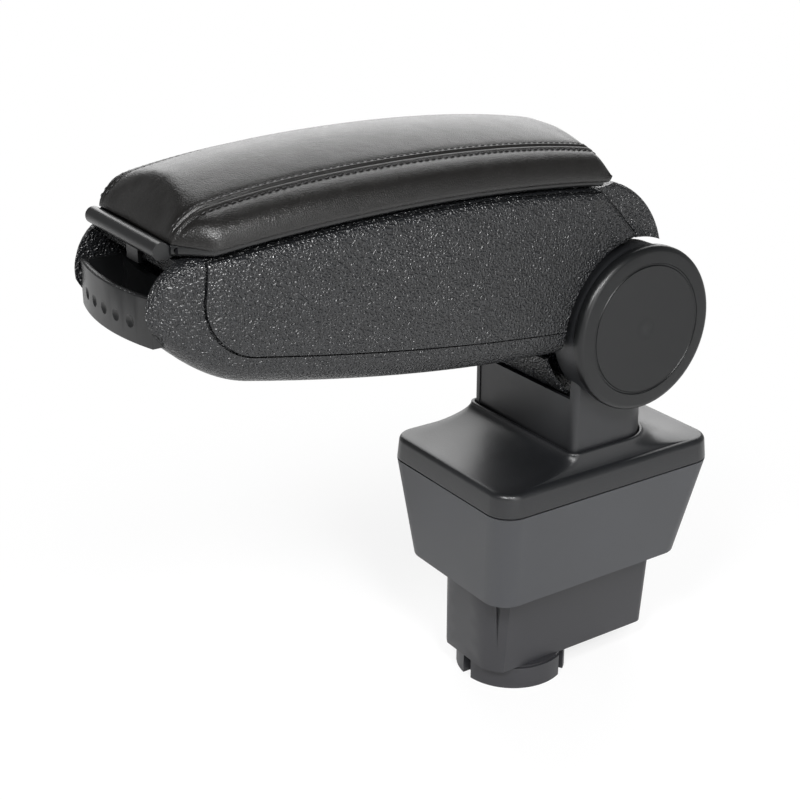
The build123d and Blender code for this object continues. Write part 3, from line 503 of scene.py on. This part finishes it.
def cover_rings(sizes, low, high):
    """Rings of the base cover, from the foot of its rim over its top and up the collar to the post.

    The rim leans in with its draft and turns over in a quarter circle. From there a quarter ellipse sweeps up
    to the collar's mouth: flat where it leaves the rim and upright where it meets the post.
    """
    top = low[2] + sizes.rim
    turn = np.linspace(0, math.pi / 2, EDGE_STEPS)
    edge_in = sizes.draft + sizes.edge * (1 - np.cos(turn))
    edge_z = top - sizes.edge * (1 - np.sin(turn))
    foot_z = low[2] + sizes.seam_gap + np.array([0, 0, 1, 2]) * FOOT_BEVEL
    inset = np.concatenate([[sizes.wall, FOOT_BEVEL, 0.0, 0.0], edge_in])
    height = np.concatenate([foot_z, edge_z])
    corner = np.maximum(sizes.corner - inset, LEAST_CORNER)
    outer = np.stack([low[0] + inset, high[0] - inset, high[1] - inset, corner, corner, height])
    grow = sizes.gap + np.array([sizes.lip, LIP_ROUND * sizes.lip, 0.0, 0.0])
    mouth_z = top + np.array([sizes.collar, sizes.collar + LIP_CROWN, sizes.collar, -sizes.wall])
    mouth = np.stack([sizes.post_rear - grow, sizes.post_front + grow, sizes.post_half + grow,
                      sizes.front_corner + grow, sizes.rear_corner + grow, mouth_z])
    sweep = np.sin(np.linspace(0, math.pi / 2, SWEEP_STEPS))[1:-1]
    plan = outer[:5, -1:] + sweep * (mouth[:5, :1] - outer[:5, -1:])
    rise = top + sizes.collar * (1 - np.sqrt(1 - sweep ** 2))
    path = np.concatenate([outer, np.concatenate([plan, rise[None]]), mouth, outer[:, :1]], axis=1)
    return rounded_rings(*path)


def shroud_rings(sizes):
    """Rings of the shroud: the outline of a ring's sector about the pivot, carried across the arm."""
    angle = np.linspace(-sizes.start, -sizes.end, SHROUD_STEPS)
    around = np.concatenate([angle, angle[::-1]])
    radius = np.repeat([sizes.radius, sizes.radius - sizes.thickness], SHROUD_STEPS)
    across = np.linspace(-sizes.half, sizes.half, SHROUD_ROWS)[:, None]
    return np.stack(np.broadcast_arrays(PIVOT[0] + radius * np.cos(around), across,
                                        PIVOT[2] + radius * np.sin(around)), -1)


def add_node(tree, kind, inputs=None, **settings):
    """Adds a node, applies its settings and fills its inputs with values or links from other sockets."""
    made = tree.nodes.new(kind)
    for name, value in settings.items():
        setattr(made, name, value)
    for name, value in (inputs or {}).items():
        if isinstance(value, bpy.types.NodeSocket):
            tree.links.new(value, made.inputs[name])
        else:
            made.inputs[name].default_value = value
    return made


def start_material(name):
    """Empty node material with its Object coordinates and its output."""
    material = bpy.data.materials.new(name)
    material.use_nodes = True
    tree = material.node_tree
    tree.nodes.clear()
    coordinates = add_node(tree, "ShaderNodeTexCoord").outputs["Object"]
    output = add_node(tree, "ShaderNodeOutputMaterial")
    return material, tree, coordinates, output


def scale_for(size):
    """Texture scale at which one feature is as wide as a length in metres."""
    return 1.0 / size


def rgba(value):
    """Colour property as a socket's four numbers."""
    return (value[0], value[1], value[2], 1.0)


def shade(value, factor):
    """Colour made lighter or darker by a factor."""
    return (min(value[0] * factor, 1), min(value[1] * factor, 1), min(value[2] * factor, 1), 1.0)


def surface(tree, output, colour_socket, roughness, normal, ior, metallic=0.0):
    """Principled surface from a colour, a roughness, a normal and plain values."""
    shader = add_node(tree, "ShaderNodeBsdfPrincipled", {
        "Base Color": colour_socket, "Roughness": roughness, "Normal": normal, "IOR": ior,
        "Metallic": metallic})
    tree.links.new(shader.outputs["BSDF"], output.inputs["Surface"])
    return shader


def leather_finish(finish):
    """Dyed, embossed leather: pore cells cut by fine creases, so its gloss breaks into short soft streaks."""
    material, tree, place, output = start_material("dyed_leather")
    warp = add_node(tree, "ShaderNodeTexNoise", {
        "Vector": place, "Scale": scale_for(4 * finish.leather_grain), "Detail": 2.0})
    shifted = add_node(tree, "ShaderNodeVectorMath", {
        0: warp.outputs["Color"], 1: (0.8 * MM, 0.8 * MM, 0.8 * MM)}, operation="MULTIPLY")
    bent = add_node(tree, "ShaderNodeVectorMath", {0: place, 1: shifted.outputs["Vector"]}, operation="ADD")
    cells = add_node(tree, "ShaderNodeTexVoronoi", {"Vector": bent.outputs["Vector"],
                                                    "Scale": scale_for(finish.leather_grain)},
                     feature="DISTANCE_TO_EDGE")
    crease = add_node(tree, "ShaderNodeMapRange", {"Value": cells.outputs["Distance"], "From Max": 0.22})
    folds = add_node(tree, "ShaderNodeTexNoise", {
        "Vector": place, "Scale": scale_for(9 * finish.leather_grain), "Detail": 4.0, "Roughness": 0.6})
    bump = add_node(tree, "ShaderNodeBump", {"Height": crease.outputs["Result"], "Strength": 0.6,
                                             "Distance": 0.09 * MM})
    broad = add_node(tree, "ShaderNodeBump", {"Height": folds.outputs["Fac"], "Strength": 0.5,
                                              "Distance": 0.5 * MM, "Normal": bump.outputs["Normal"]})
    tone = add_node(tree, "ShaderNodeValToRGB", {"Fac": folds.outputs["Fac"]})
    tone.color_ramp.elements[0].color = shade(finish.leather, 0.75)
    tone.color_ramp.elements[1].color = shade(finish.leather, 1.25)
    gloss = add_node(tree, "ShaderNodeMapRange", {
        "Value": folds.outputs["Fac"], "To Min": 0.29, "To Max": 0.41})
    surface(tree, output, tone.outputs["Color"], gloss.outputs["Result"], broad.outputs["Normal"], 1.52)
    return material


def thread_finish(finish):
    """Bonded polyester thread: fine twisted strands with a dull gloss."""
    material, tree, place, output = start_material("bonded_thread")
    twist = add_node(tree, "ShaderNodeTexWave", {
        "Vector": place, "Scale": scale_for(2.4 * MM), "Distortion": 1.5}, bands_direction="DIAGONAL")
    tone = add_node(tree, "ShaderNodeValToRGB", {"Fac": twist.outputs["Fac"]})
    tone.color_ramp.elements[0].color = shade(finish.thread, 0.7)
    tone.color_ramp.elements[1].color = shade(finish.thread, 1.5)
    bump = add_node(tree, "ShaderNodeBump", {
        "Height": twist.outputs["Fac"], "Strength": 0.4, "Distance": 0.1 * MM})
    surface(tree, output, tone.outputs["Color"], 0.5, bump.outputs["Normal"], 1.55)
    return material


def grained_finish(finish):
    """Pebble-grained ABS: rounded pebbles pressed in by the mould, whose slopes catch small glints. Its colour
    carries painted shade, darker in the valleys between pebbles and lighter on their tops.
    """
    material, tree, place, output = start_material("pebble_grained_abs")
    pebbles = add_node(tree, "ShaderNodeTexNoise", {
        "Vector": place, "Scale": scale_for(finish.pebble), "Detail": 0.0})
    dome = add_node(tree, "ShaderNodeMapRange", {
        "Value": pebbles.outputs["Fac"], "From Min": 0.28, "From Max": 0.72})
    bump = add_node(tree, "ShaderNodeBump", {"Height": dome.outputs["Result"], "Strength": 1.0,
                                             "Distance": finish.pebble_depth})
    # painted shade: the colour is darkened in the valleys between pebbles and lightened on their tops
    tone = add_node(tree, "ShaderNodeValToRGB", {"Fac": dome.outputs["Result"]})
    tone.color_ramp.elements[0].color = shade(finish.grained, 0.5)
    tone.color_ramp.elements[1].color = shade(finish.grained, 1.2)
    gloss = add_node(tree, "ShaderNodeMapRange", {
        "Value": dome.outputs["Result"], "To Min": 0.40, "To Max": 0.17})
    surface(tree, output, tone.outputs["Color"], gloss.outputs["Result"], bump.outputs["Normal"], 1.53)
    return material


def moulded_finish(name, base, grain, depth, roughness, ior):
    """Moulded plastic with a fine spark-eroded texture, slightly uneven in tone and gloss over its faces."""
    material, tree, place, output = start_material(name)
    fine = add_node(tree, "ShaderNodeTexNoise", {"Vector": place, "Scale": scale_for(grain), "Detail": 3.0})
    broad = add_node(tree, "ShaderNodeTexNoise", {
        "Vector": place, "Scale": scale_for(45 * MM), "Detail": 2.0})
    tone = add_node(tree, "ShaderNodeValToRGB", {"Fac": broad.outputs["Fac"]})
    tone.color_ramp.elements[0].position = 0.3
    tone.color_ramp.elements[0].color = shade(base, 0.88)
    tone.color_ramp.elements[1].position = 0.7
    tone.color_ramp.elements[1].color = shade(base, 1.1)
    gloss = add_node(tree, "ShaderNodeMapRange", {
        "Value": broad.outputs["Fac"], "From Min": 0.3, "From Max": 0.7, "To Min": roughness - 0.04,
        "To Max": roughness + 0.05})
    bump = add_node(tree, "ShaderNodeBump", {
        "Height": fine.outputs["Fac"], "Strength": 0.6, "Distance": depth})
    surface(tree, output, tone.outputs["Color"], gloss.outputs["Result"], bump.outputs["Normal"], ior)
    return material


def steel_finish(name, plating):
    """Plated or blackened steel: metal with a faint patchy bloom in its gloss."""
    material, tree, place, output = start_material(name)
    bloom = add_node(tree, "ShaderNodeTexNoise", {"Vector": place, "Scale": scale_for(6 * MM), "Detail": 3.0})
    tone = add_node(tree, "ShaderNodeValToRGB", {"Fac": bloom.outputs["Fac"]})
    tone.color_ramp.elements[0].color = shade(plating, 0.8)
    tone.color_ramp.elements[1].color = shade(plating, 1.1)
    gloss = add_node(tree, "ShaderNodeMapRange", {
        "Value": bloom.outputs["Fac"], "To Min": 0.25, "To Max": 0.42})
    bump = add_node(tree, "ShaderNodeBump", {
        "Height": bloom.outputs["Fac"], "Strength": 0.1, "Distance": 0.05 * MM})
    surface(tree, output, tone.outputs["Color"], gloss.outputs["Result"], bump.outputs["Normal"], 1.5, 1.0)
    return material


def cover_finish(finish):
    """Fine-grained ABS of the base cover, glossier than the arm, so its sweep takes long soft highlights."""
    return moulded_finish("fine_grained_abs", finish.cover, finish.fine_grain, 0.12 * MM, 0.34, 1.53)


def plastic_finishes(finish):
    """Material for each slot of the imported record."""
    return {
        # Moulded polypropylene with a fine even texture
        "base_plastic": moulded_finish("moulded_polypropylene", finish.base, 0.8 * MM, 0.03 * MM, 0.5, 1.49),
        "cover_plastic": cover_finish(finish),
        # Satin ABS of the post
        "post_plastic": moulded_finish("satin_moulded_abs", finish.post, 0.7 * MM, 0.03 * MM, 0.42, 1.53),
        "grained_plastic": grained_finish(finish),
        # Nearly smooth ABS of tray, lever and lid edge
        "trim_plastic": moulded_finish("smooth_satin_abs", finish.trim, 0.6 * MM, 0.012 * MM, 0.34, 1.53),
        # Matt polypropylene of the bin liner
        "liner_plastic": moulded_finish("matt_polypropylene", finish.liner, 0.8 * MM, 0.06 * MM, 0.62, 1.49),
        # Dull moulded rubber of the rim bumpers
        "rubber": moulded_finish("moulded_rubber", finish.rubber, 0.5 * MM, 0.03 * MM, 0.72, 1.52),
        # Turned acetal of washers and bushes
        "washer_plastic": moulded_finish("turned_acetal", finish.acetal, 0.6 * MM, 0.015 * MM, 0.42, 1.48),
        "steel": steel_finish("zinc_plated_steel", finish.steel),
    }


def special_finishes(finish):
    """Material for each node whose finish differs from the rest of its slot."""
    cap = moulded_finish("polished_moulded_abs", finish.cap, 0.7 * MM, 0.02 * MM, 0.34, 1.45)
    insert = moulded_finish("recessed_polypropylene", finish.insert, 0.8 * MM, 0.03 * MM, 0.46, 1.49)
    pin = steel_finish("blackened_steel", finish.oxide)
    return {"pivot_cap_left": cap, "pivot_cap_right": cap, "console_insert": insert, "lever_pin": pin}


class ARMREST_OT_cushion(bpy.types.Operator):
    """Make the padded leather cushion of the lid"""

    bl_idname = "armrest.cushion"
    bl_label = "Lid Cushion"

    def execute(self, context):
        sizes = context.scene.armrest.cushion
        points, gap, roll = cushion_grid(sizes)
        skin = mesh_object("lid_cushion_leather", points, tube_faces(*gap.shape))
        points = swell_cushion(skin, points, gap, roll, sizes)
        relief = (seam_relief(gap) * roll * (gap != BASE_GAP))[..., None]
        points = points + grid_normals(points) * relief
        skin.data.vertices.foreach_set("co", points.ravel())
        skin.data.materials.append(leather_finish(context.scene.armrest.finish))
        skin.data.update()
        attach(skin, "lid")
        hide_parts("lid_cushion")
        return {"FINISHED"}


class ARMREST_OT_stitches(bpy.types.Operator):
    """Sew a row of stitches along either side of both seams"""

    bl_idname = "armrest.stitches"
    bl_label = "Seam Stitches"

    def execute(self, context):
        sizes = context.scene.armrest.cushion
        points, gap, roll = cushion_grid(sizes)
        normals = grid_normals(points)
        points = points + normals * (seam_relief(gap) * roll)[..., None]
        column_gap = gap[len(gap) // 2]
        material = thread_finish(context.scene.armrest.finish)
        for side, sign in (("left", 1), ("right", -1)):
            made = []
            for offset in (sizes.stitch_offset, -sizes.stitch_offset):
                on_side = points[len(points) // 2, :, 1] * sign > 0
                column = np.argmin(np.abs(column_gap - offset) + np.where(on_side, 0, 1))
                path = points[STITCH_MARGIN:-STITCH_MARGIN, column]
                centres = along_path(path, path, sizes.stitch_pitch)
                upward = along_path(path, normals[STITCH_MARGIN:-STITCH_MARGIN, column], sizes.stitch_pitch)
                upward = upward / np.linalg.norm(upward, axis=1, keepdims=True)
                tangents = np.gradient(centres, axis=0)
                tangents = tangents / np.linalg.norm(tangents, axis=1, keepdims=True)
                made.append(stitch_mesh(centres, tangents, upward, sizes.stitch_length / 2, sizes.thread / 2))
            second = made[1][1] + made[0][0].size // 3
            thread = mesh_object(f"seam_stitches_{side}", np.concatenate([made[0][0], made[1][0]]),
                                 np.concatenate([made[0][1], second]).tolist())
            weld = thread.modifiers.new("closed ends", "WELD")
            weld.merge_threshold = CLOSED_GAP
            thread.data.materials.append(material)
            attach(thread, "lid")
        return {"FINISHED"}


class ARMREST_OT_cover(bpy.types.Operator):
    """Make the base cover with its collar swept up to the post"""

    bl_idname = "armrest.cover"
    bl_label = "Base Cover"

    def execute(self, context):
        points = cover_rings(context.scene.armrest.cover, *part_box("base_cover"))
        shell = mesh_object("base_cover_shell", points, grid_faces(*points.shape[:2], True).tolist())
        weld = shell.modifiers.new("closed foot", "WELD")
        weld.merge_threshold = CLOSED_GAP
        shell.data.materials.append(cover_finish(context.scene.armrest.finish))
        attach(shell, "base")
        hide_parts("base_cover")
        return {"FINISHED"}


class ARMREST_OT_shroud(bpy.types.Operator):
    """Make the curved shroud under the barrel"""

    bl_idname = "armrest.shroud"
    bl_label = "Barrel Shroud"

    def execute(self, context):
        points = shroud_rings(context.scene.armrest.shroud)
        shroud = mesh_object("barrel_shroud", points, tube_faces(*points.shape[:2]))
        crisp = shroud.modifiers.new("crisp edges", "EDGE_SPLIT")
        crisp.split_angle = CRISP_ANGLE
        shroud.data.materials.append(grained_finish(context.scene.armrest.finish))
        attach(shroud, "arm")
        return {"FINISHED"}


class ARMREST_OT_finishes(bpy.types.Operator):
    """Give every moulded and metal piece its finish and smooth shading"""

    bl_idname = "armrest.finishes"
    bl_label = "Moulded And Metal Finishes"

    def execute(self, context):
        finishes = plastic_finishes(context.scene.armrest.finish)
        special = special_finishes(context.scene.armrest.finish)
        for part in frame["record"]["subparts"]:
            if part["material_slot"] not in finishes:
                continue
            piece = frame["nodes"][part["node"]]
            piece.data.materials.clear()
            piece.data.materials.append(special.get(part["node"], finishes[part["material_slot"]]))
            piece.data.polygons.foreach_set("use_smooth", np.ones(len(piece.data.polygons), bool))
            weld = piece.modifiers.new("joined facets", "WELD")
            weld.merge_threshold = FACET_GAP
            crisp = piece.modifiers.new("crisp edges", "EDGE_SPLIT")
            crisp.split_angle = CRISP_ANGLE
        return {"FINISHED"}


def soft_light(name, place, target, size, power):
    """Square area lamp at a place, facing a target."""
    lamp = bpy.data.lights.new(name, "AREA")
    lamp.size = size
    lamp.energy = power
    made = bpy.data.objects.new(name, lamp)
    made.visible_camera = False
    made.location = place
    made.rotation_euler = (Vector(target) - Vector(place)).to_track_quat("-Z", "Y").to_euler()
    bpy.context.scene.collection.objects.link(made)


def floor_material(code):
    """Pale matt floor that turns plain white away from the object and still takes the shadow beneath it."""
    material, tree, place, output = start_material("pale_studio_floor")
    path = add_node(tree, "ShaderNodeLightPath")
    clear = add_node(tree, "ShaderNodeMath", {0: path.outputs["Is Camera Ray"],
                                              1: path.outputs["Is Transmission Ray"]}, operation="MAXIMUM")
    seen = add_node(tree, "ShaderNodeMath", {0: path.outputs["Is Glossy Ray"], 1: GLOSSY_GLOW,
                                             2: clear.outputs["Value"]}, operation="MULTIPLY_ADD")
    glow = add_node(tree, "ShaderNodeEmission", {"Color": (1.0, 1.0, 1.0, 1.0), "Strength": 1.0})
    matt = add_node(tree, "ShaderNodeBsdfDiffuse", {"Color": rgba(code)})
    away = add_node(tree, "ShaderNodeVectorMath", {0: place}, operation="LENGTH")
    whiter = add_node(tree, "ShaderNodeMapRange", {
        "Value": away.outputs["Value"], "From Min": GLOW_NEAR, "From Max": GLOW_FAR, "To Min": GLOW_LEAST,
        "To Max": 1.0}, interpolation_type="SMOOTHSTEP")
    part = add_node(tree, "ShaderNodeMath", {0: seen.outputs["Value"], 1: whiter.outputs["Result"]},
                    operation="MULTIPLY")
    mixed = add_node(tree, "ShaderNodeMixShader", {0: part.outputs["Value"], 1: matt.outputs["BSDF"],
                                                   2: glow.outputs["Emission"]})
    tree.links.new(mixed.outputs["Shader"], output.inputs["Surface"])
    return material


def white_studio(stage):
    """White walls that fade upwards to a dim ceiling; the camera sees them as plain white."""
    world = bpy.data.worlds.new("white studio")
    world.use_nodes = True
    tree = world.node_tree
    tree.nodes.clear()
    direction = add_node(tree, "ShaderNodeTexCoord").outputs["Generated"]
    height = add_node(tree, "ShaderNodeSeparateXYZ", {"Vector": direction})
    fade = add_node(tree, "ShaderNodeMapRange", {
        "Value": height.outputs["Z"], "From Min": math.sin(WALL_TOP), "From Max": math.sin(CEILING_START),
        "To Min": stage.walls, "To Max": stage.ceiling}, interpolation_type="SMOOTHSTEP")
    path = add_node(tree, "ShaderNodeLightPath")
    seen = add_node(tree, "ShaderNodeMath", {0: path.outputs["Is Camera Ray"],
                                             1: path.outputs["Is Transmission Ray"]}, operation="MAXIMUM")
    level = add_node(tree, "ShaderNodeMapRange", {
        "Value": seen.outputs["Value"], "To Min": fade.outputs["Result"], "To Max": 1.0})
    sky = add_node(tree, "ShaderNodeBackground", {
        "Color": (1.0, 1.0, 1.0, 1.0), "Strength": level.outputs["Result"]})
    output = add_node(tree, "ShaderNodeOutputWorld")
    tree.links.new(sky.outputs["Background"], output.inputs["Surface"])
    return world


class ARMREST_OT_stage(bpy.types.Operator):
    """Set up the floor, the lights and the camera"""

    bl_idname = "armrest.stage"
    bl_label = "Studio Stage"

    def execute(self, context):
        stage = context.scene.armrest.stage
        angle = np.linspace(2 * math.pi, 0, FLOOR_STEPS + 1)[:-1]
        radius = np.array([0.0, 0.5, 1.0])[:, None] * stage.floor_radius
        ring = np.broadcast_arrays(radius * np.cos(angle), radius * np.sin(angle), -FLOOR_DROP)
        points = np.stack(ring, -1)
        floor = mesh_object("studio_floor", points, grid_faces(len(radius), len(angle), True).tolist())
        floor.data.materials.append(floor_material(stage.floor))
        for name, place, size, power in LIGHTS:
            soft_light(name, place, LIGHT_TARGET, size, getattr(stage, power))
        context.scene.world = white_studio(stage)
        camera = bpy.data.objects.new("camera", bpy.data.cameras.new("camera"))
        camera.data.lens = stage.lens
        camera.data.sensor_width = 36.0
        turn, lift = stage.azimuth, stage.elevation
        back = Vector((math.sin(turn) * math.cos(lift), math.cos(turn) * math.cos(lift), math.sin(lift)))
        right = Vector((-math.cos(turn), math.sin(turn), 0.0))
        up = back.cross(right)
        camera.matrix_world = Matrix.Translation(stage.eye) @ Matrix((right, up, back)).transposed().to_4x4()
        context.scene.collection.objects.link(camera)
        context.scene.camera = camera
        context.scene.view_settings.view_transform = "Standard"
        return {"FINISHED"}


class ARMREST_PT_panel(bpy.types.Panel):
    """Sidebar panel that lists the armrest's operators and settings"""

    bl_idname = "ARMREST_PT_panel"
    bl_label = "Armrest"
    bl_space_type = "VIEW_3D"
    bl_region_type = "UI"
    bl_category = "Armrest"

    def draw(self, context):
        for operator in OPERATORS:
            self.layout.operator(operator.bl_idname)
        for group in ("cushion", "cover", "shroud", "finish", "stage"):
            settings = getattr(context.scene.armrest, group)
            box = self.layout.box()
            for name in settings.bl_rna.properties.keys():
                if name not in ("rna_type", "name"):
                    box.prop(settings, name)


OPERATORS = (ARMREST_OT_cushion, ARMREST_OT_stitches, ARMREST_OT_cover, ARMREST_OT_shroud,
             ARMREST_OT_finishes, ARMREST_OT_stage)
CLASSES = (CushionSettings, CoverSettings, ShroudSettings, FinishSettings, StageSettings, ArmrestSettings,
           *OPERATORS, ARMREST_PT_panel)


def register():
    """Registers every class and hangs the settings on the scene."""
    for kind in CLASSES:
        bpy.utils.register_class(kind)
    bpy.types.Scene.armrest = PointerProperty(type=ArmrestSettings)


def unregister():
    """Takes the settings off the scene and removes every class."""
    del bpy.types.Scene.armrest
    for kind in reversed(CLASSES):
        bpy.utils.unregister_class(kind)


def main():
    register()
    bpy.ops.armrest.cushion()
    bpy.ops.armrest.stitches()
    bpy.ops.armrest.cover()
    bpy.ops.armrest.shroud()
    bpy.ops.armrest.finishes()
    bpy.ops.armrest.stage()


if __name__ == "__main__":
    main()
